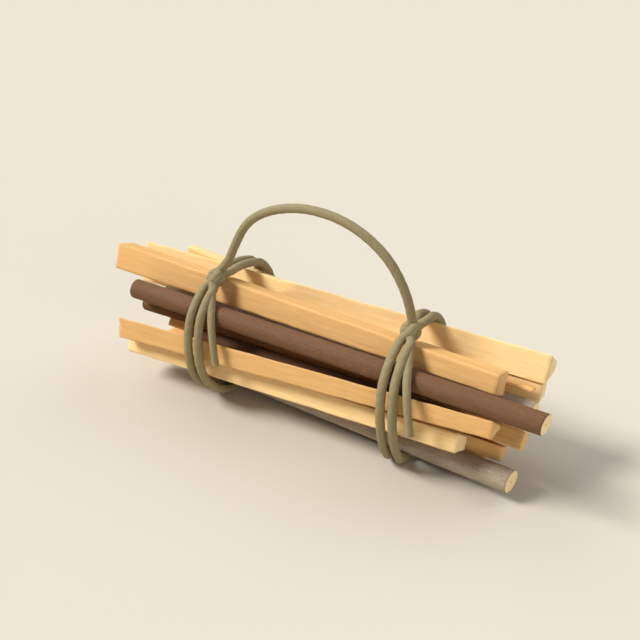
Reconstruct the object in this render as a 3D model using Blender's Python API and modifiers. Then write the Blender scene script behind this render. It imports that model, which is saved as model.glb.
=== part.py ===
"""A tied bundle of twigs: round twigs with their bark on and split sticks of kindling,
held by two double-turned cord ties, with a stiff handle of the same cord between the knots.

Lengths are written in millimetres and turned into metres by MM. X runs along the bundle,
the front of the bundle faces -Y, and the bundle lies on the lowest stretches of its ties.
"""
import math

import bmesh
import bpy
from mathutils import Matrix, Vector

MM = 0.001

# Driving sizes of the bundle. FLAT_DOWN turns the eight-sided cords so that a flat side is lowest.
GAP = 0.3
TIE_GAP = 0.5
CORD = 6.0
HANDLE_CORD = 6.0
UNDERSIDE = CORD + GAP
BUNDLE_AXIS_Z = 50.0
STICK_EDGE = 0.7
TWIG_RIM = 0.6
TWIG_SIDES = 16
FLAT_DOWN = math.radians(22.5)

# Colours, roughness and metallic value of each finish
FINISHES = {
    "orange_wood": ((0.82, 0.45, 0.16), 0.75, 0.0),
    "pale_wood": ((0.95, 0.68, 0.31), 0.75, 0.0),
    "brown_bark": ((0.24, 0.12, 0.06), 0.85, 0.0),
    "grey_bark": ((0.30, 0.22, 0.15), 0.85, 0.0),
    "cord": ((0.34, 0.27, 0.14), 0.9, 0.0),
}

# Split sticks. An end gives x, then y and z of the upper front edge, the depth and height of the
# section and its roll about X in degrees. Drop lowers the back upper edge and lift raises the back
# lower one, because a split stick is thinner on the side that lay nearer the heart of the log.
SPLIT_STICKS = {
    "orange_stick_top": dict(
        left=(-166.5, -5.0, 94.3, 15.5, 18.8, 21), right=(137, -13.0, 87.2, 18.0, 12.8, 21),
        drop=0, lift=-4, finish="orange_wood"),
    "pale_stick_top": dict(
        left=(-163, 21.5, 86.3, 9.0, 18.5, 27), right=(157.5, 21.5, 89.0, 17.0, 19.2, 27),
        drop=4.5, lift=8, finish="pale_wood"),
    "pale_stick_top_back": dict(
        left=(-130.5, 29.3, 85.6, 8.5, 11.0, 3), right=(40, 33.2, 70.4, 7.0, 7.5, 20),
        drop=0.8, lift=2, finish="pale_wood"),
    "pale_stick_upper": dict(
        left=(-163, 14.5, 69.0, 12.0, 13.5, 12), right=(155.5, 14.5, 70.5, 12.0, 13.0, 8),
        drop=0, lift=0, finish="pale_wood"),
    "thin_splint": dict(
        left=(-120, 5.0, 72.4, 6.0, 3.0, 12), right=(153, 5.0, 71.8, 6.0, 3.0, 12),
        drop=0, lift=0, finish="orange_wood"),
    "orange_stick_front": dict(
        left=(-141, -40.0, 56.2, 15.0, 16.5, 9), right=(143, -32.8, 68.7, 16.0, 13.0, 9),
        drop=10, lift=0.5, finish="orange_wood"),
    "pale_stick_front_low": dict(
        left=(-141, -31.0, 36.5, 18.0, 12.5, 23), right=(121, -27.8, 47.3, 19.0, 13.0, 23),
        drop=5, lift=-2, finish="pale_wood"),
    "orange_stick_inner": dict(
        left=(-120, -5.0, 51.0, 13.0, 12.0, 38), right=(153.5, -0.5, 43.7, 13.0, 12.0, 38),
        drop=1, lift=0, finish="orange_wood"),
    "orange_stick_low": dict(
        left=(-125, -10.0, 33.0, 12.0, 9.0, 27), right=(142, -6.5, 31.4, 12.0, 11.5, 10),
        drop=5, lift=0, finish="orange_wood"),
    "orange_stick_back": dict(
        left=(-148, 29.5, 66.5, 12.5, 14.5, 8), right=(140, 29.5, 58.6, 12.5, 14.0, 8),
        drop=1, lift=1, finish="orange_wood"),
    "pale_stick_back_low": dict(
        left=(-136, 21.0, 35.0, 15.0, 14.0, -20), right=(147, 19.5, 29.5, 15.0, 11.5, -20),
        drop=5, lift=3, finish="pale_wood"),
    "orange_stick_bottom": dict(
        left=(-141, 3.6, UNDERSIDE + 12.5, 18.0, 12.5, 0), right=(128, 5.0, UNDERSIDE + 12, 16.5, 12.0, 0),
        drop=1.5, lift=0, finish="orange_wood"),
    "pale_stick_middle": dict(
        left=(-130, 12.0, 52.0, 12.0, 12.0, 10), right=(147, 12.0, 53.0, 12.0, 12.0, 10),
        drop=0, lift=0, finish="pale_wood"),
    "orange_stick_middle_low": dict(
        left=(-98, 8.0, 33.0, 12.0, 10.5, 15), right=(134, 8.0, 33.0, 11.0, 10.5, 15),
        drop=0, lift=0, finish="orange_wood"),
}

# Round twigs. An end gives x, then y and z of the middle of the cut, and its radius.
ROUND_TWIGS = {
    "brown_twig_front": dict(
        left=(-132, -27.5, 76.1, 7.1), right=(171, -26.0, 72.7, 6.9), finish="brown_bark"),
    "brown_twig_inner": dict(
        left=(-132, -17.5, 60.2, 6.3), right=(140, -14.5, 63.0, 5.8), finish="brown_bark"),
    "grey_twig_upper": dict(
        left=(-130, 2.6, 58.6, 6.0), right=(156.5, 1.5, 59.3, 6.0), finish="grey_bark"),
    "brown_twig_low": dict(
        left=(-90, -16.8, 46.5, 4.7), right=(118, -14.0, 46.5, 5.5), finish="brown_bark"),
    "brown_twig_back": dict(
        left=(-152, 38.0, 42.8, 6.3), right=(134, 38.4, 37.0, 6.0), finish="brown_bark"),
    "grey_twig_bottom": dict(
        left=(-128, -2.6, UNDERSIDE + 6.0, 6.0), right=(153, -15.3, UNDERSIDE + 7.9, 7.9), finish="grey_bark"),
}

# The ties. Each is one cord that goes round twice. Angles turn about the bundle's axis, from +Y
# by the top and the front to the bottom, and start and stop count from the knot.
TIES = {
    "left": dict(
        x=-69.8, lean=0.5, near=3.35, spread=1.6,
        knot=(-71.9, -11.6, 97.2), knot_half=(6.7, 6.2, 5.3), start=9.5, stop=349.5,
        tail=[(-69.6, -20.2, 98.2), (-66.4, -26.2, 96.6), (-61.6, -33.2, 91.0), (-58.6, -37.4, 83.4),
              (-56.4, -40.8, 75.6), (-54.0, -43.0, 68.0), (-51.9, -44.8, 60.4), (-50.4, -45.6, 53.5),
              (-49.5, -46.0, 47.6)]),
    "right": dict(
        x=75.0, lean=2.2, near=3.35, spread=1.2,
        knot=(74.4, -4.2, 94.9), knot_half=(7.0, 6.5, 5.5), start=11, stop=349,
        tail=[(77.0, -14.2, 100.6), (79.6, -22.4, 98.4), (85.0, -33.0, 91.4), (87.7, -38.6, 82.4),
              (90.0, -42.0, 73.5), (92.4, -44.2, 65.2), (94.5, -45.6, 56.2), (96.2, -46.0, 47.6)]),
}

# The handle's middle line, from the left knot to the right one
HANDLE_ROUTE = [
    (-66.9, -9.9, 102.4), (-61.8, -8.8, 109.6), (-55.5, -8.0, 123.3), (-48.7, -8.0, 135.6),
    (-39.9, -8.0, 145.2), (-27.2, -8.0, 153.0), (-13.1, -8.0, 158.0), (0.5, -8.0, 160.4),
    (13.9, -8.0, 160.4), (26.2, -8.0, 158.4), (38.1, -8.0, 154.2), (49.4, -8.0, 147.6),
    (58.2, -8.0, 140.0), (65.6, -7.4, 129.4), (71.6, -6.4, 115.6), (74.6, -5.2, 102.2),
]


def finish_material(finish):
    """A new material of one finish."""
    colour, roughness, metallic = FINISHES[finish]
    material = bpy.data.materials.new(finish)
    material.use_nodes = True
    shader = material.node_tree.nodes["Principled BSDF"]
    shader.inputs["Base Color"].default_value = (*colour, 1.0)
    shader.inputs["Roughness"].default_value = roughness
    shader.inputs["Metallic"].default_value = metallic
    return material


def add_piece(name, data, finish, collection):
    """Link a mesh or a curve as one named piece with its own material."""
    piece = bpy.data.objects.new(name, data)
    data.materials.append(finish_material(finish))
    collection.objects.link(piece)
    return piece


def split_section(end, drop, lift):
    """Corners of a split stick's end, keyed by side (-1 front, 1 back) and height (-1 or 1)."""
    x, y, z, depth, height, roll = end
    turn = math.radians(roll)
    back = Vector((0, math.cos(turn), -math.sin(turn)))
    up = Vector((0, math.sin(turn), math.cos(turn)))
    edge = Vector((x, y, z))
    return {
        (-1, 1): edge,
        (-1, -1): edge - up * height,
        (1, -1): edge + back * depth - up * (height - lift),
        (1, 1): edge + back * depth - up * drop,
    }


def split_stick(name, stick, collection):
    """A tapering stick: a cube whose corners go to the two end sections, with its edges worn."""
    ends = {-1: split_section(stick["left"], stick["drop"], stick["lift"]),
            1: split_section(stick["right"], stick["drop"], stick["lift"])}
    shape = bmesh.new()
    bmesh.ops.create_cube(shape, size=2.0)
    for corner in shape.verts:
        end, side, height = (round(value) for value in corner.co)
        corner.co = ends[end][(side, height)] * MM
    mesh = bpy.data.meshes.new(name)
    shape.to_mesh(mesh)
    shape.free()
    piece = add_piece(name, mesh, stick["finish"], collection)
    bevel = piece.modifiers.new("worn edges", "BEVEL")
    bevel.width = STICK_EDGE * MM
    bevel.segments = 1
    bevel.limit_method = "NONE"
    return piece


def round_twig(name, twig, collection):
    """A tapering round twig between its two cuts, with a narrow chamfer round each cut."""
    start = Vector(twig["left"][:3]) * MM
    finish = Vector(twig["right"][:3]) * MM
    run = finish - start
    shape = bmesh.new()
    bmesh.ops.create_cone(
        shape, cap_ends=True, segments=TWIG_SIDES,
        radius1=twig["left"][3] * MM, radius2=twig["right"][3] * MM, depth=run.length)
    facing = run.to_track_quat("Z", "Y").to_matrix().to_4x4()
    bmesh.ops.transform(shape, matrix=Matrix.Translation((start + finish) / 2) @ facing, verts=shape.verts)
    mesh = bpy.data.meshes.new(name)
    shape.to_mesh(mesh)
    shape.free()
    piece = add_piece(name, mesh, twig["finish"], collection)
    bevel = piece.modifiers.new("cut rims", "BEVEL")
    bevel.width = TWIG_RIM * MM
    bevel.segments = 1
    bevel.limit_method = "ANGLE"
    bevel.angle_limit = math.radians(60)
    mesh.shade_smooth()
    mesh.set_sharp_from_angle(angle=math.radians(40))
    return piece


def section_points(x):
    """Points round the bundle's cross-section at x, as (y, z) in millimetres."""
    points = []
    for stick in SPLIT_STICKS.values():
        part = (x - stick["left"][0]) / (stick["right"][0] - stick["left"][0])
        ends = [split_section(stick[side], stick["drop"], stick["lift"]) for side in ("left", "right")]
        for key in ends[0]:
            point = ends[0][key].lerp(ends[1][key], part)
            points.append((point.y, point.z))
    for twig in ROUND_TWIGS.values():
        part = (x - twig["left"][0]) / (twig["right"][0] - twig["left"][0])
        middle = Vector(twig["left"]).lerp(Vector(twig["right"]), part)
        for step in range(24):
            turn = math.radians(15 * step)
            points.append((middle.y + middle.w * math.cos(turn), middle.z + middle.w * math.sin(turn)))
    return points


def reach(points, angle):
    """How far the cross-section reaches from the bundle's axis in one direction."""
    return max(y * math.cos(angle) + (z - BUNDLE_AXIS_Z) * math.sin(angle) for y, z in points)


def tie_turn(tie, side):
    """Middle line of one turn of a tie, drawn tight round the sticks and eased at their edges.

    The cord touches the outline of the bundle. Its distance in each direction is the section's
    reach, smoothed over the neighbouring directions, and the route is the line that has it.
    """
    points = section_points(tie["x"])
    knot = Vector(tie["knot"])
    first = math.atan2(knot.z - BUNDLE_AXIS_Z, knot.y)
    step = math.radians(5)
    window = 2
    raw = [reach(points, first + step * k) + TIE_GAP + CORD / 2 for k in range(72)]
    highest = [max(raw[(k + j) % 72] for j in range(-window, window + 1)) for k in range(72)]
    eased = [sum(highest[(k + j) % 72] for j in range(-window, window + 1)) / (2 * window + 1)
             for k in range(72)]
    route = []
    angle = tie["start"]
    while angle <= tie["stop"] + 0.001:
        place = math.radians(angle) / step
        k = int(place)
        share = place - k
        distance = eased[k % 72] * (1 - share) + eased[(k + 1) % 72] * share
        slope_here = (eased[(k + 1) % 72] - eased[(k - 1) % 72]) / (2 * step)
        slope_next = (eased[(k + 2) % 72] - eased[k % 72]) / (2 * step)
        slope = slope_here * (1 - share) + slope_next * share
        turn = first + math.radians(angle)
        y = distance * math.cos(turn) - slope * math.sin(turn)
        z = BUNDLE_AXIS_Z + distance * math.sin(turn) + slope * math.cos(turn)
        apart = tie["near"] + tie["spread"] * math.sin(math.radians(angle) / 2)
        x = tie["x"] - tie["lean"] * math.cos(turn) + side * apart
        point = Vector((x, y, max(z, CORD / 2)))
        if not route or (point - route[-1]).length > CORD / 2:
            route.append(point)
        angle += 2.5
    return route


def smooth_route(points, spacing):
    """A Catmull-Rom curve through the given points, with a point about every spacing."""
    points = [Vector(point) for point in points]
    padded = [points[0] * 2 - points[1]] + points + [points[-1] * 2 - points[-2]]
    route = []
    for a, b, c, d in zip(padded, padded[1:], padded[2:], padded[3:]):
        steps = max(1, round((c - b).length / spacing))
        for k in range(steps):
            t = k / steps
            route.append(0.5 * (2 * b + (c - a) * t + (2 * a - 5 * b + 4 * c - d) * t ** 2
                                + (3 * b - a - 3 * c + d) * t ** 3))
    route.append(points[-1])
    return route


def cord_piece(name, route, thickness, collection):
    """A round cord along a route, with filled ends."""
    curve = bpy.data.curves.new(name, "CURVE")
    curve.dimensions = "3D"
    curve.bevel_depth = thickness / 2 * MM
    curve.bevel_resolution = 2
    curve.use_fill_caps = True
    spline = curve.splines.new("POLY")
    spline.points.add(len(route) - 1)
    for point, place in zip(spline.points, route):
        point.co = (*(place * MM), 1.0)
        point.tilt = FLAT_DOWN
    spline.use_smooth = True
    return add_piece(name, curve, "cord", collection)


def knot_piece(name, tie, collection):
    """The tight lump of a knot, flattened against the sticks that it sits on."""
    shape = bmesh.new()
    bmesh.ops.create_icosphere(shape, subdivisions=3, radius=1.0)
    middle = Vector(tie["knot"])
    outward = Vector((0, middle.y, middle.z - BUNDLE_AXIS_Z)).normalized()
    facing = Matrix((Vector((1, 0, 0)), outward.cross(Vector((1, 0, 0))), outward)).transposed().to_4x4()
    size = Matrix.Diagonal((*(Vector(tie["knot_half"]) * MM), 1.0))
    bmesh.ops.transform(shape, matrix=Matrix.Translation(middle * MM) @ facing @ size, verts=shape.verts)
    mesh = bpy.data.meshes.new(name)
    shape.to_mesh(mesh)
    shape.free()
    mesh.shade_smooth()
    return add_piece(name, mesh, "cord", collection)


def set_on_origin(pieces, free_ends):
    """Move everything so that the bottom centre of the bundle's box is the origin."""
    bpy.context.view_layer.update()
    scene_state = bpy.context.evaluated_depsgraph_get()
    corners = []
    for piece in pieces:
        if piece.name in free_ends:
            continue
        solid = piece.evaluated_get(scene_state)
        corners += [corner.co.copy() for corner in solid.to_mesh().vertices]
        solid.to_mesh_clear()
    lowest = Vector(min(corner[axis] for corner in corners) for axis in range(3))
    highest = Vector(max(corner[axis] for corner in corners) for axis in range(3))
    middle = (lowest + highest) / 2
    for piece in pieces:
        piece.location = (-middle.x, -middle.y, -lowest.z)


def build():
    for leftover in list(bpy.data.objects):
        bpy.data.objects.remove(leftover)
    collection = bpy.data.collections.new("bundle of twigs")
    bpy.context.scene.collection.children.link(collection)
    pieces = []
    for name, stick in SPLIT_STICKS.items():
        pieces.append(split_stick(name, stick, collection))
    for name, twig in ROUND_TWIGS.items():
        pieces.append(round_twig(name, twig, collection))
    free_ends = []
    for side, tie in TIES.items():
        pieces.append(cord_piece(side + "_tie_outer_turn", tie_turn(tie, -1), CORD, collection))
        pieces.append(cord_piece(side + "_tie_inner_turn", tie_turn(tie, 1), CORD, collection))
        pieces.append(knot_piece(side + "_knot", tie, collection))
        pieces.append(cord_piece(side + "_cord_end", smooth_route(tie["tail"], CORD), CORD, collection))
        free_ends.append(side + "_cord_end")
    pieces.append(cord_piece("carrying_handle", smooth_route(HANDLE_ROUTE, HANDLE_CORD), HANDLE_CORD, collection))
    set_on_origin(pieces, free_ends)


build()
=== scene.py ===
import math
import random

import bmesh
import bpy
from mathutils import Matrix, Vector, noise


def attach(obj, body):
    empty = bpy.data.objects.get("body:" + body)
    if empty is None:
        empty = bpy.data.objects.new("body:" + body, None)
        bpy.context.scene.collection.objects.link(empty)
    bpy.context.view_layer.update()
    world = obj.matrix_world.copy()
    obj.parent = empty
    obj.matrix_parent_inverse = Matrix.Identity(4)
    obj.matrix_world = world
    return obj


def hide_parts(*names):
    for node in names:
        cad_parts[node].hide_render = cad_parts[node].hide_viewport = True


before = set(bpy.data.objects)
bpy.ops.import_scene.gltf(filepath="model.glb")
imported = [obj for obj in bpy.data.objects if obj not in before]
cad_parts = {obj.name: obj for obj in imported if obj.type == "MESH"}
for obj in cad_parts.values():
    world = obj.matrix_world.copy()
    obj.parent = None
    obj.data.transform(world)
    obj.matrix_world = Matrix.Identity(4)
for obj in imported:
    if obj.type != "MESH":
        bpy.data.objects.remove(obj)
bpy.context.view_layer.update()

# Camera
# The bundle is seen from its front right, through a 50 mm lens. The camera is turned 31 degrees from the
# bundle's front and looks down on it at 31 degrees.
CAMERA_AZIMUTH = 31
CAMERA_ELEVATION = 31
camera_data = bpy.data.cameras.new("camera")
camera_data.lens = 50
camera_data.sensor_width = 36
camera = bpy.data.objects.new("camera", camera_data)
camera.location = (0.26601, -0.44026, 0.38482)
camera.rotation_euler = (math.radians(90 - CAMERA_ELEVATION), 0, math.radians(CAMERA_AZIMUTH))
bpy.context.scene.collection.objects.link(camera)
bpy.context.scene.camera = camera

# Free cord ends
# Each tie is knotted at the top front edge and leaves one end of its cord hanging down over its own turns.
# The cord is natural fibre laid from three strands, 6 mm thick and stiff. Its ends are cut straight, and
# they have worn a little thinner.
CORD_RADIUS = 0.003
STRANDS = 3
LAY_PITCH = 0.021
GROOVE_DEPTH = 0.0002
FIBRE_ROUGHNESS = 0.00012
END_ROUNDING = 0.00036
CORD_SIDES = 36
RING_SPACING = 0.0008
END_INSETS = (0.3, 0.3)
CURVE_STEPS = 8
CAD_CORD_SIDES = 8
JOIN_DISTANCE = 2e-6


def add(tree, kind, inputs=None, **settings):
    """A shader node with its settings, and its inputs set or linked by name or number."""
    made = tree.nodes.new("ShaderNode" + kind)
    for key, value in settings.items():
        setattr(made, key, value)
    for key, value in (inputs or {}).items():
        if isinstance(value, bpy.types.NodeSocket):
            tree.links.new(value, made.inputs[key])
        else:
            made.inputs[key].default_value = value
    return made


def ramp(tree, value, stops):
    """A colour ramp with (position, colour) stops, on a value."""
    made = add(tree, "ValToRGB", {0: value})
    while len(made.color_ramp.elements) < len(stops):
        made.color_ramp.elements.new(0.5)
    for element, (position, colour) in zip(made.color_ramp.elements, stops):
        element.position = position
        element.color = (*colour, 1)
    return made.outputs["Color"]


def blend_colours(tree, share, first, second, blend_type="MIX"):
    """The second colour over the first one, by share."""
    first, second = ((*colour, 1) if isinstance(colour, tuple) else colour for colour in (first, second))
    made = add(tree, "Mix", {0: share, 6: first, 7: second}, data_type="RGBA", blend_type=blend_type)
    return made.outputs[2]


def new_material(name):
    """A material with its node tree, its shader and its own copy of the piece's grain coordinates."""
    material = bpy.data.materials.new(name)
    material.use_nodes = True
    tree = material.node_tree
    shader = tree.nodes["Principled BSDF"]
    grain = add(tree, "Attribute", attribute_name="grain").outputs["Vector"]
    return material, tree, shader, grain


def stretched(tree, grain, along, across):
    """The grain coordinates scaled along the piece and across it, in repeats per metre."""
    return add(tree, "VectorMath", {0: grain, 1: (along, across, across)}, operation="MULTIPLY").outputs[0]


def soft_noise(tree, place, detail, output="Fac"):
    """A cloudy pattern on the given coordinates."""
    return add(tree, "TexNoise", {"Vector": place, "Detail": detail}).outputs[output]


def straight_bar(radius, length, sides, spacing, rounding, insets):
    """A straight round bar up Z from the origin, cut into rings, with rounded rims and rings on its ends.

    insets are the widths of the rings on the two ends, as shares of the radius.
    """
    shape = bmesh.new()
    shape.verts.layers.float_vector.new("grain")
    bmesh.ops.create_cone(shape, cap_ends=True, segments=sides, radius1=radius, radius2=radius,
                          depth=length)
    bmesh.ops.translate(shape, vec=(0, 0, length / 2), verts=shape.verts)
    lengthwise = [edge for edge in shape.edges if edge.calc_length() > length / 2]
    bmesh.ops.subdivide_edges(shape, edges=lengthwise, cuts=round(length / spacing) - 1)
    caps = [face for face in shape.faces if len(face.verts) == sides]
    rims = [edge for cap in caps for edge in cap.edges]
    bmesh.ops.bevel(shape, geom=rims, offset=rounding, segments=2, profile=0.5, affect="EDGES", material=-1)
    for inset in insets:
        caps = [face for face in shape.faces if len(face.verts) == sides]
        bmesh.ops.inset_region(shape, faces=caps, thickness=inset * radius)
    return shape


def finish_piece(name, shape, materials, node):
    """Turn a mesh into a named piece that stands for a CAD node and rides on the bundle."""
    bmesh.ops.recalc_face_normals(shape, faces=shape.faces)
    mesh = bpy.data.meshes.new(name)
    shape.to_mesh(mesh)
    shape.free()
    mesh.shade_smooth()
    mesh.set_sharp_from_angle(angle=math.radians(50))
    piece = bpy.data.objects.new(name, mesh)
    for material in materials:
        mesh.materials.append(material)
    bpy.context.scene.collection.objects.link(piece)
    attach(piece, "root")
    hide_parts(node)
    return piece


def middle_line(node, start):
    """Centres of the rings of a CAD cord, from its end nearer to start."""
    shape = bmesh.new()
    shape.from_mesh(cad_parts[node].data)
    bmesh.ops.remove_doubles(shape, verts=shape.verts, dist=JOIN_DISTANCE)
    bmesh.ops.dissolve_limit(shape, angle_limit=0.001, verts=shape.verts, edges=shape.edges)
    caps = [face for face in shape.faces if len(face.verts) == CAD_CORD_SIDES]
    ring = set(min(caps, key=lambda face: (face.calc_center_median() - start).length).verts)
    seen = set(ring)
    centres = []
    while ring:
        centres.append(sum((corner.co for corner in ring), Vector()) / len(ring))
        ring = {edge.other_vert(corner) for corner in ring for edge in corner.link_edges} - seen
        seen |= ring
    shape.free()
    return centres


def smooth_line(points):
    """Even steps of RING_SPACING along a smooth curve through the points."""
    padded = [points[0] * 2 - points[1], *points, points[-1] * 2 - points[-2]]
    fine = []
    for a, b, c, d in zip(padded, padded[1:], padded[2:], padded[3:]):
        for k in range(CURVE_STEPS):
            t = k / CURVE_STEPS
            fine.append(0.5 * (2 * b + (c - a) * t + (2 * a - 5 * b + 4 * c - d) * t ** 2
                               + (3 * b - a - 3 * c + d) * t ** 3))
    fine.append(points[-1])
    line = [fine[0]]
    for point in fine[1:]:
        while (point - line[-1]).length >= RING_SPACING:
            line.append(line[-1] + (point - line[-1]).normalized() * RING_SPACING)
    return line


def eased(points, rounds):
    """The same points with the bends between them spread out, more so with more rounds. The ends stay."""
    for _ in range(rounds):
        inner = [(a + b * 2 + c) / 4 for a, b, c in zip(points, points[1:], points[2:])]
        points = [points[0], *inner, points[-1]]
    return points


def laid_cord(line, wear=0.0):
    """A straight bar grooved into strands that turn round each other, then bent along a line.

    wear is the share of its thickness that the cord has lost by its far end.
    """
    befores = [line[0], *line]
    afters = [*line[1:], line[-1]]
    directions = [(after - before).normalized() for before, after in zip(befores, afters)]
    sides = [directions[0].orthogonal().normalized()]
    for direction in directions[1:]:
        sides.append((sides[-1] - direction * sides[-1].dot(direction)).normalized())
    length = RING_SPACING * (len(line) - 1)
    shape = straight_bar(CORD_RADIUS, length, CORD_SIDES, RING_SPACING, END_ROUNDING, END_INSETS)
    grain = shape.verts.layers.float_vector["grain"]
    for corner in shape.verts:
        x, y, run = corner.co
        station = min(int(run / RING_SPACING), len(line) - 2)
        share = run / RING_SPACING - station
        centre = line[station].lerp(line[station + 1], share)
        side = sides[station].lerp(sides[station + 1], share).normalized()
        over = directions[station].cross(side)
        angle = math.atan2(y, x)
        phase = angle - math.tau * run / LAY_PITCH
        crown = abs(math.cos(STRANDS / 2 * phase)) ** 0.5
        rough = FIBRE_ROUGHNESS * noise.noise(Vector((run * 300, 3 * math.cos(phase), 3 * math.sin(phase))))
        reach = math.hypot(x, y) * (1 + (rough - GROOVE_DEPTH * (1 - crown)) / CORD_RADIUS)
        reach *= 1 - wear * run / length
        corner.co = centre + (side * math.cos(angle) + over * math.sin(angle)) * reach
        corner[grain] = Vector((run, reach * math.cos(phase), reach * math.sin(phase)))
    return shape


cord_material, tree, shader, grain = new_material("laid natural cord")
fibres = soft_noise(tree, stretched(tree, grain, 160, 3000), 3.0)
patches = soft_noise(tree, stretched(tree, grain, 60, 250), 2.0)
fibre_colour = ramp(tree, fibres, [(0.3, (0.27, 0.21, 0.105)), (0.5, (0.325, 0.26, 0.135)),
                                   (0.7, (0.38, 0.31, 0.165))])
patch_colour = ramp(tree, patches, [(0.3, (0.86, 0.85, 0.82)), (0.7, (1.0, 1.0, 1.0))])
cord_colour = blend_colours(tree, 1.0, fibre_colour, patch_colour, "MULTIPLY")
tree.links.new(cord_colour, shader.inputs["Base Color"])
shader.inputs["Roughness"].default_value = 0.7
shader.inputs["Specular IOR Level"].default_value = 0.25
cord_bump = add(tree, "Bump", {"Height": fibres, "Strength": 0.35, "Distance": 0.0002})
tree.links.new(cord_bump.outputs["Normal"], shader.inputs["Normal"])

KNOTS = {"left": Vector((-0.0742, -0.0139, 0.0970)), "right": Vector((0.0721, -0.0065, 0.0947))}
KNOT_MIDDLES = {"left": Vector((-0.0715, -0.0167, 0.0960)), "right": Vector((0.0727, -0.0093, 0.0953))}
CORD_END_LENGTHS = {"left": 0.061, "right": 0.066}
KNOT_FRONT = Vector((0.0025, -0.006, -0.0015))
END_CLEAR_OF_KNOT = 0.0165
END_SLOPE_STEPS = 5
END_EASING = 6
END_WEAR = 0.22
for side, length in CORD_END_LENGTHS.items():
    centres = middle_line(side + "_cord_end", KNOTS[side])
    start = KNOTS[side] + KNOT_FRONT
    hanging = [centre for centre in centres if centre.z < KNOTS[side].z - END_CLEAR_OF_KNOT]
    sloping = [start.lerp(hanging[0], k / END_SLOPE_STEPS) for k in range(END_SLOPE_STEPS)]
    line = smooth_line(eased([*sloping, *hanging], END_EASING))
    shape = laid_cord(line, END_WEAR)
    piece = finish_piece(side + "_cord_end_laid", shape, [cord_material], side + "_cord_end")

# Ties
# Each tie is the same laid cord, wound twice round the sticks and drawn tight. Both ends of each turn go
# into the knot.
TURN_REACH_INTO_KNOT = 0.7
BEFORE_KNOT = Vector((0, -0.012, 0))
for side, knot in KNOTS.items():
    middle = KNOT_MIDDLES[side]
    for turn in ("outer", "inner"):
        node = side + "_tie_" + turn + "_turn"
        centres = middle_line(node, knot + BEFORE_KNOT)
        first = centres[0].lerp(middle, TURN_REACH_INTO_KNOT)
        last = centres[-1].lerp(middle, TURN_REACH_INTO_KNOT)
        shape = laid_cord(smooth_line([first, *centres, last]))
        finish_piece(side + "_" + turn + "_turn_laid", shape, [cord_material], node)

# Knots
# Each knot is a tight ball of the same cord, wound over itself while the plane of the winding turns, as in
# a stopper knot that is pulled down hard.
KNOT_REACH = 0.0039
KNOT_WINDINGS = 4.2
KNOT_POINTS = 80
KNOT_FIRST_AXIS = Vector((0.3, -0.8, 0.5)).normalized()
KNOT_LAST_AXIS = Vector((-0.9, 0.1, 0.5)).normalized()
for side, middle in KNOT_MIDDLES.items():
    points = [middle.copy()]
    for k in range(KNOT_POINTS):
        share = k / (KNOT_POINTS - 1)
        axis = KNOT_FIRST_AXIS.lerp(KNOT_LAST_AXIS, share).normalized()
        out = axis.cross(Vector((0, 0, 1))).normalized()
        angle = math.tau * KNOT_WINDINGS * share
        points.append(middle + (out * math.cos(angle) + axis.cross(out) * math.sin(angle)) * KNOT_REACH)
    points.append(middle.copy())
    shape = laid_cord(smooth_line(points))
    finish_piece(side + "_knot_laid", shape, [cord_material], side + "_knot")

# Carrying handle
# The handle is one length of the same cord, so stiff that it stands in an arch by itself. Each of its ends
# goes down into a knot and is held there.
HANDLE_REACH_INTO_KNOT = 0.6
centres = middle_line("carrying_handle", KNOTS["left"])
first = centres[0].lerp(KNOTS["left"], HANDLE_REACH_INTO_KNOT)
last = centres[-1].lerp(KNOTS["right"], HANDLE_REACH_INTO_KNOT)
shape = laid_cord(smooth_line([first, *centres, last]))
finish_piece("carrying_handle_laid", shape, [cord_material], "carrying_handle")

# Split sticks
# They are kindling split along the fibre from softwood, some from the orange-tan heart and some from the
# pale sapwood. Faces are torn, with shallow grooves along the fibre and nicked edges, and ends are sawn. The
# growth rings run through both alike, round a pith given across and up from the middle of each stick.
STICKS = {
    "orange_stick_top": ("orange", -0.060, -0.100), "thin_splint": ("orange", 0.050, -0.040),
    "orange_stick_front": ("orange", 0.020, -0.090), "orange_stick_inner": ("orange", -0.050, -0.030),
    "orange_stick_low": ("orange", 0.060, 0.020), "orange_stick_back": ("orange", -0.070, 0.030),
    "orange_stick_bottom": ("orange", 0.020, 0.080), "orange_stick_middle_low": ("orange", 0.045, -0.035),
    "pale_stick_top": ("pale", -0.030, -0.110), "pale_stick_top_back": ("pale", -0.060, -0.050),
    "pale_stick_upper": ("pale", -0.030, -0.080), "pale_stick_front_low": ("pale", 0.060, 0.060),
    "pale_stick_back_low": ("pale", -0.050, 0.060), "pale_stick_middle": ("pale", 0.040, 0.050),
}
STICK_WIDTH = 0.014
FIBRE_SPACING = 0.0012
STATION_SPACING = 0.0025
LONG_GROOVE_DEPTH = 0.00035
SHORT_GROOVE_DEPTH = 0.00022
NICK_DEPTH = 0.0006
EDGE_SHARPNESS = 1.02
RINGS_PER_METRE = 520.0
RING_WAVER = 0.004
LATEWOOD_DARKNESS = 0.35
END_PALENESS = 0.7


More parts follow.
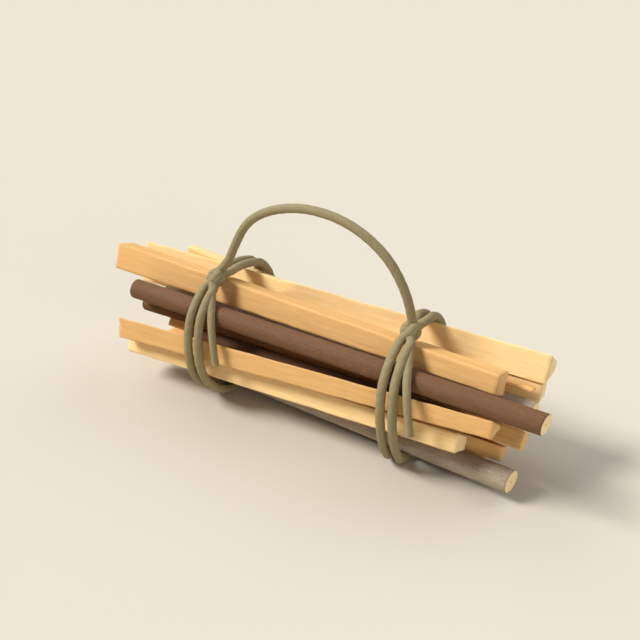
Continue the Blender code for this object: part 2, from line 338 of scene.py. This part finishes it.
def split_stick(node, pith):
    """A stick from its CAD solid, cut into a fine net along the fibre and torn a little, with its grain.

    pith is where the middle of the log lay, seen from the middle of the stick.
    """
    shape = bmesh.new()
    shape.from_mesh(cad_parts[node].data)
    grain = shape.verts.layers.float_vector.new("grain")
    bmesh.ops.remove_doubles(shape, verts=shape.verts, dist=JOIN_DISTANCE)
    bmesh.ops.dissolve_limit(shape, angle_limit=math.radians(12), verts=shape.verts, edges=shape.edges)
    halfway = sum(corner.co.x for corner in shape.verts) / len(shape.verts)
    near = [corner.co.copy() for corner in shape.verts if corner.co.x < halfway]
    far = [corner.co.copy() for corner in shape.verts if corner.co.x > halfway]
    middles = [sum(near, Vector()) / len(near), sum(far, Vector()) / len(far)]
    long_edges = [edge for edge in shape.edges if edge.calc_length() > 5 * STICK_WIDTH]
    cuts = round(long_edges[0].calc_length() / STATION_SPACING)
    bmesh.ops.subdivide_edges(shape, edges=long_edges, cuts=cuts, use_grid_fill=True)
    wide_edges = [edge for edge in shape.edges if edge.calc_length() > 2 * STATION_SPACING]
    cuts = round(STICK_WIDTH / FIBRE_SPACING)
    bmesh.ops.subdivide_edges(shape, edges=wide_edges, cuts=cuts, use_grid_fill=True)
    shape.normal_update()
    seed = random.Random(node).uniform(0, 100)
    torn = []
    for corner in shape.verts:
        along, across, up = corner.co.x, corner.co.y * 1000, corner.co.z * 1000
        depth = LONG_GROOVE_DEPTH * abs(noise.noise(Vector((along * 14 + seed, across * 0.55, up * 0.55))))
        depth += SHORT_GROOVE_DEPTH * abs(noise.noise(Vector((along * 45 + seed, across * 1.7, up * 1.7))))
        on_an_edge = corner.calc_shell_factor() > EDGE_SHARPNESS
        if on_an_edge:
            nick = noise.noise(Vector((along * 70 + seed, across * 0.2, up * 0.2)))
            depth += NICK_DEPTH * max(0.0, nick)
        torn.append(corner.co - corner.normal * depth)
    for corner, place in zip(shape.verts, torn):
        share = (corner.co.x - middles[0].x) / (middles[1].x - middles[0].x)
        middle = middles[0].lerp(middles[1], share)
        from_pith = corner.co - middle - pith
        corner[grain] = Vector((corner.co.x + seed, from_pith.y, from_pith.z))
        corner.co = place
    return shape


def distance_across(tree, grain):
    """How far a point is from the line that the grain coordinates run along."""
    flat = add(tree, "VectorMath", {0: grain, 1: (0.0, 1.0, 1.0)}, operation="MULTIPLY").outputs[0]
    return add(tree, "VectorMath", {0: flat}, operation="LENGTH").outputs["Value"]


def growth_year(tree, distance, rings):
    """How far a point is through its year's growth, from 0 to 1, by its distance and the rings per unit."""
    years = add(tree, "Math", {0: distance, 1: rings}, operation="MULTIPLY").outputs[0]
    return add(tree, "Math", {0: years}, operation="FRACT").outputs[0]


def split_wood(name, light, dark, ends):
    """Materials of one wood: its split faces with grain lines and torn fibre, and its sawn ends."""
    made = []
    for part in ("faces", "ends"):
        material, tree, shader, grain = new_material(name + " " + part)
        spread = soft_noise(tree, stretched(tree, grain, 6, 60), 2.0, "Color")
        waver = add(tree, "VectorMath", {0: spread, 1: (0.0, RING_WAVER, RING_WAVER)}, operation="MULTIPLY")
        place = add(tree, "VectorMath", {0: grain, 1: waver.outputs[0]}, operation="ADD").outputs[0]
        year = growth_year(tree, distance_across(tree, place), RINGS_PER_METRE)
        season = {"Value": year, "From Min": 0.35, "From Max": 0.95}
        latewood = add(tree, "MapRange", season).outputs["Result"]
        fibre = soft_noise(tree, stretched(tree, grain, 25, 1500), 4.0)
        cloud = soft_noise(tree, stretched(tree, grain, 9, 90), 2.0)
        base = ramp(tree, cloud, [(0.3, dark), (0.7, light)])
        lined = blend_colours(tree, latewood, base, blend_colours(tree, LATEWOOD_DARKNESS, base, dark))
        streak = ramp(tree, fibre, [(0.3, (0.92, 0.88, 0.84)), (0.6, (1.0, 1.0, 1.0))])
        wood = blend_colours(tree, 1.0, lined, streak, "MULTIPLY")
        if part == "ends":
            wood = blend_colours(tree, END_PALENESS, wood, ends)
        tree.links.new(wood, shader.inputs["Base Color"])
        shader.inputs["Roughness"].default_value = 0.72
        shader.inputs["Specular IOR Level"].default_value = 0.3
        bump = add(tree, "Bump", {"Height": fibre, "Strength": 0.35, "Distance": 0.0003})
        tree.links.new(bump.outputs["Normal"], shader.inputs["Normal"])
        made.append(material)
    return made


orange_wood = split_wood("orange-tan split wood", light=(0.83, 0.49, 0.185), dark=(0.76, 0.43, 0.155),
                         ends=(0.82, 0.52, 0.24))
pale_wood = split_wood("pale split wood", light=(0.98, 0.71, 0.34), dark=(0.92, 0.63, 0.28),
                       ends=(1.0, 0.80, 0.46))
WOODS = {"orange": ("orange_wood", orange_wood), "pale": ("pale_wood", pale_wood)}
ALONG_THE_STICK = 0.75
for name, (wood, pith_y, pith_z) in STICKS.items():
    shape = split_stick(name, Vector((0, pith_y, pith_z)))
    slot, materials = WOODS[wood]
    piece = finish_piece(name + "_split", shape, materials, name)
    for face in piece.data.polygons:
        face.material_index = 1 if abs(face.normal.x) > ALONG_THE_STICK else 0

# Round twigs
# They are cut twigs with their bark on, straight and tapering a little, with faint swellings at old buds and
# small raised pores across the bark. The cuts are clean and show pale wood inside a thin dark rim of bark.
TWIGS = {
    "brown_twig_front": "brown", "brown_twig_inner": "brown", "brown_twig_low": "brown",
    "brown_twig_back": "brown", "grey_twig_upper": "grey", "grey_twig_bottom": "grey",
}
TWIG_SIDES = 48
TWIG_SPACING = 0.002
CUT_RIM = 0.0004
CUT_SLANT = 0.14
CUT_INSETS = (0.12, 0.2, 0.3)
BARK_FIT = 0.985
BARK_WAVINESS = 0.02
BARK_ROUGHNESS = 0.0001
BUDS = 5
BUD_HEIGHT = 0.00045
BUD_LENGTH = 0.0022
BUD_WIDTH = 0.55
BUD_CLEAR_OF_CUT = 0.03
RINGS_IN_RADIUS = 7.0


def round_twig(node):
    """A twig between the ends of its CAD solid, with old buds and its far cut turned a little to the front.

    Its grain coordinates are the run along it and the place across it in shares of its radius.
    """
    corners = [corner.co.copy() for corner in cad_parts[node].data.vertices]
    near = [corner for corner in corners if corner.x < 0]
    far = [corner for corner in corners if corner.x > 0]
    middle = sum(near, Vector()) / len(near)
    along = (sum(far, Vector()) / len(far) - middle).normalized()
    near_radius = max((corner - middle).cross(along).length for corner in near)
    far_radius = max((corner - middle).cross(along).length for corner in far)
    reaches = [(corner - middle).dot(along) for corner in corners]
    start = middle + along * min(reaches)
    length = max(reaches) - min(reaches)
    side = along.orthogonal().normalized()
    over = along.cross(side)
    chance = random.Random(node)
    seed = chance.uniform(0, 100)
    buds = []
    for _ in range(BUDS):
        place = chance.uniform(BUD_CLEAR_OF_CUT, length - BUD_CLEAR_OF_CUT)
        buds.append((place, chance.uniform(0, math.tau)))
    shape = straight_bar(near_radius, length, TWIG_SIDES, TWIG_SPACING, CUT_RIM, CUT_INSETS)
    grain = shape.verts.layers.float_vector["grain"]
    for corner in shape.verts:
        x, y, run = corner.co
        angle = math.atan2(y, x)
        share = math.hypot(x, y) / near_radius
        facing_out = side * math.cos(angle) + over * math.sin(angle)
        reach = near_radius + (far_radius - near_radius) * run / length
        swell = noise.noise(Vector((run * 30 + seed, 1.5 * math.cos(angle), 1.5 * math.sin(angle))))
        reach *= BARK_FIT + BARK_WAVINESS * swell
        reach += BARK_ROUGHNESS * noise.noise(Vector((run * 120, 9 * math.cos(angle), 9 * math.sin(angle))))
        for place, facing in buds:
            away = abs(math.remainder(angle - facing, math.tau))
            reach += BUD_HEIGHT * math.exp(-((run - place) / BUD_LENGTH) ** 2 - (away / BUD_WIDTH) ** 2)
        into_last_tenth = max(0.0, run / length * 10 - 9)
        slant = CUT_SLANT * facing_out.y * share * reach * into_last_tenth
        corner.co = start + along * (run + slant) + facing_out * share * reach
        corner[grain] = Vector((run + seed, share * math.cos(angle), share * math.sin(angle)))
    return shape, along


def bark(name, light, dark, pores):
    """Bark with fine lengthwise wrinkles, cloudy patches and small pores that lie across it."""
    material, tree, shader, grain = new_material(name)
    wrinkles = soft_noise(tree, stretched(tree, grain, 70, 9), 5.0)
    cloud = soft_noise(tree, stretched(tree, grain, 18, 1.2), 2.0)
    base = ramp(tree, cloud, [(0.3, dark), (0.7, light)])
    streak = ramp(tree, wrinkles, [(0.35, (0.72, 0.70, 0.68)), (0.6, (1.0, 1.0, 1.0))])
    coat = blend_colours(tree, 1.0, base, streak, "MULTIPLY")
    cells = add(tree, "TexVoronoi", {"Vector": stretched(tree, grain, 420, 2.3), "Scale": 1.0})
    spots = ramp(tree, cells.outputs["Distance"], [(0.10, (1, 1, 1)), (0.2, (0, 0, 0))])
    coat = blend_colours(tree, spots, coat, pores)
    tree.links.new(coat, shader.inputs["Base Color"])
    shader.inputs["Roughness"].default_value = 0.7
    shader.inputs["Specular IOR Level"].default_value = 0.3
    wrinkle_bump = add(tree, "Bump", {"Height": wrinkles, "Strength": 0.4, "Distance": 0.0003})
    pore_bump = add(tree, "Bump", {"Height": spots, "Strength": 0.5, "Distance": 0.0003,
                                   "Normal": wrinkle_bump.outputs["Normal"]})
    tree.links.new(pore_bump.outputs["Normal"], shader.inputs["Normal"])
    return material


def cut_end(name, rim_colour):
    """The cut across a twig: pith, fine growth rings and a thin rim of bark."""
    material, tree, shader, grain = new_material(name)
    flat = add(tree, "VectorMath", {0: grain, 1: (0.0, 1.0, 1.0)}, operation="MULTIPLY").outputs[0]
    wobble = add(tree, "TexNoise", {"Vector": flat, "Scale": 3.0, "Detail": 2.0}).outputs["Fac"]
    distance = distance_across(tree, grain)
    shifted = add(tree, "Math", {0: wobble, 1: 0.08, 2: distance}, operation="MULTIPLY_ADD").outputs[0]
    year = growth_year(tree, shifted, RINGS_IN_RADIUS)
    rings = ramp(tree, year, [(0.0, (1.0, 0.81, 0.47)), (0.75, (1.0, 0.75, 0.40)),
                              (0.95, (0.93, 0.64, 0.32))])
    pith = ramp(tree, distance, [(0.06, (0.5, 0.3, 0.13)), (0.1, (1.0, 1.0, 1.0))])
    wood = blend_colours(tree, 1.0, rings, pith, "MULTIPLY")
    in_bark = ramp(tree, shifted, [(0.975, (0, 0, 0)), (0.99, (1, 1, 1))])
    face = blend_colours(tree, in_bark, wood, rim_colour)
    tree.links.new(face, shader.inputs["Base Color"])
    shader.inputs["Roughness"].default_value = 0.75
    shader.inputs["Specular IOR Level"].default_value = 0.25
    return material


brown_bark = bark("smooth brown bark", light=(0.202, 0.094, 0.040), dark=(0.170, 0.078, 0.033),
                  pores=(0.235, 0.122, 0.062))
brown_cut = cut_end("cut end of a brown twig", (0.13, 0.065, 0.035))
grey_bark = bark("weathered grey bark", light=(0.47, 0.38, 0.28), dark=(0.38, 0.30, 0.215),
                 pores=(0.53, 0.435, 0.33))
grey_cut = cut_end("cut end of a grey twig", (0.17, 0.12, 0.08))
BARKS = {"brown": ("brown_bark", [brown_bark, brown_cut]), "grey": ("grey_bark", [grey_bark, grey_cut])}
for name, kind in TWIGS.items():
    shape, along = round_twig(name)
    slot, materials = BARKS[kind]
    piece = finish_piece(name + "_round", shape, materials, name)
    for face in piece.data.polygons:
        face.material_index = 1 if abs(face.normal.dot(along)) > ALONG_THE_STICK else 0

# Floor
# A wide flat floor lies under the bundle, pale, warm cream and dull. It goes on well past the bundle on
# every side.
FLOOR_HALF_WIDTH = 6.0
shape = bmesh.new()
bmesh.ops.create_grid(shape, x_segments=2, y_segments=2, size=FLOOR_HALF_WIDTH)
floor_mesh = bpy.data.meshes.new("floor")
shape.to_mesh(floor_mesh)
shape.free()
floor = bpy.data.objects.new("floor", floor_mesh)
bpy.context.scene.collection.objects.link(floor)
floor_material = bpy.data.materials.new("pale floor")
floor_material.use_nodes = True
floor_shader = floor_material.node_tree.nodes["Principled BSDF"]
floor_shader.inputs["Base Color"].default_value = (0.615, 0.56, 0.47, 1)
floor_shader.inputs["Roughness"].default_value = 0.95
floor_shader.inputs["Specular IOR Level"].default_value = 0.0
floor_mesh.materials.append(floor_material)

# Light
# A soft key light stands high at the left front. Wider, weaker ones stand at the left, at the back and low
# at the right front. Each has its azimuth, elevation, strength and angular width, with angles in degrees.
# The sky is a faint fill, and past the floor's edge it shows the floor's colour.
LIGHTS = {
    "soft key": (214, 45, 3.4, 20),
    "wide left light": (160, 50, 1.25, 60),
    "wide back light": (65, 42, 1.0, 50),
    "right front fill": (330, 16, 0.85, 50),
}
for name, (azimuth, elevation, strength, width) in LIGHTS.items():
    light_data = bpy.data.lights.new(name, "SUN")
    light_data.energy = strength
    light_data.angle = math.radians(width)
    light = bpy.data.objects.new(name, light_data)
    light.rotation_euler = (math.radians(90 - elevation), 0, math.radians(azimuth + 90))
    bpy.context.scene.collection.objects.link(light)
world = bpy.data.worlds.new("faint cool sky")
world.use_nodes = True
sky = world.node_tree
backdrop = add(sky, "Background", {"Color": (0.88, 0.80, 0.67, 1), "Strength": 1.0})
fill = sky.nodes["Background"]
fill.inputs["Color"].default_value = (0.82, 0.92, 1.0, 1)
fill.inputs["Strength"].default_value = 0.06
seen = add(sky, "LightPath").outputs["Is Camera Ray"]
shown_sky = add(sky, "MixShader", {0: seen, 1: fill.outputs[0], 2: backdrop.outputs[0]})
sky.links.new(shown_sky.outputs[0], sky.nodes["World Output"].inputs["Surface"])
bpy.context.scene.world = world
bpy.context.scene.view_settings.view_transform = "Standard"
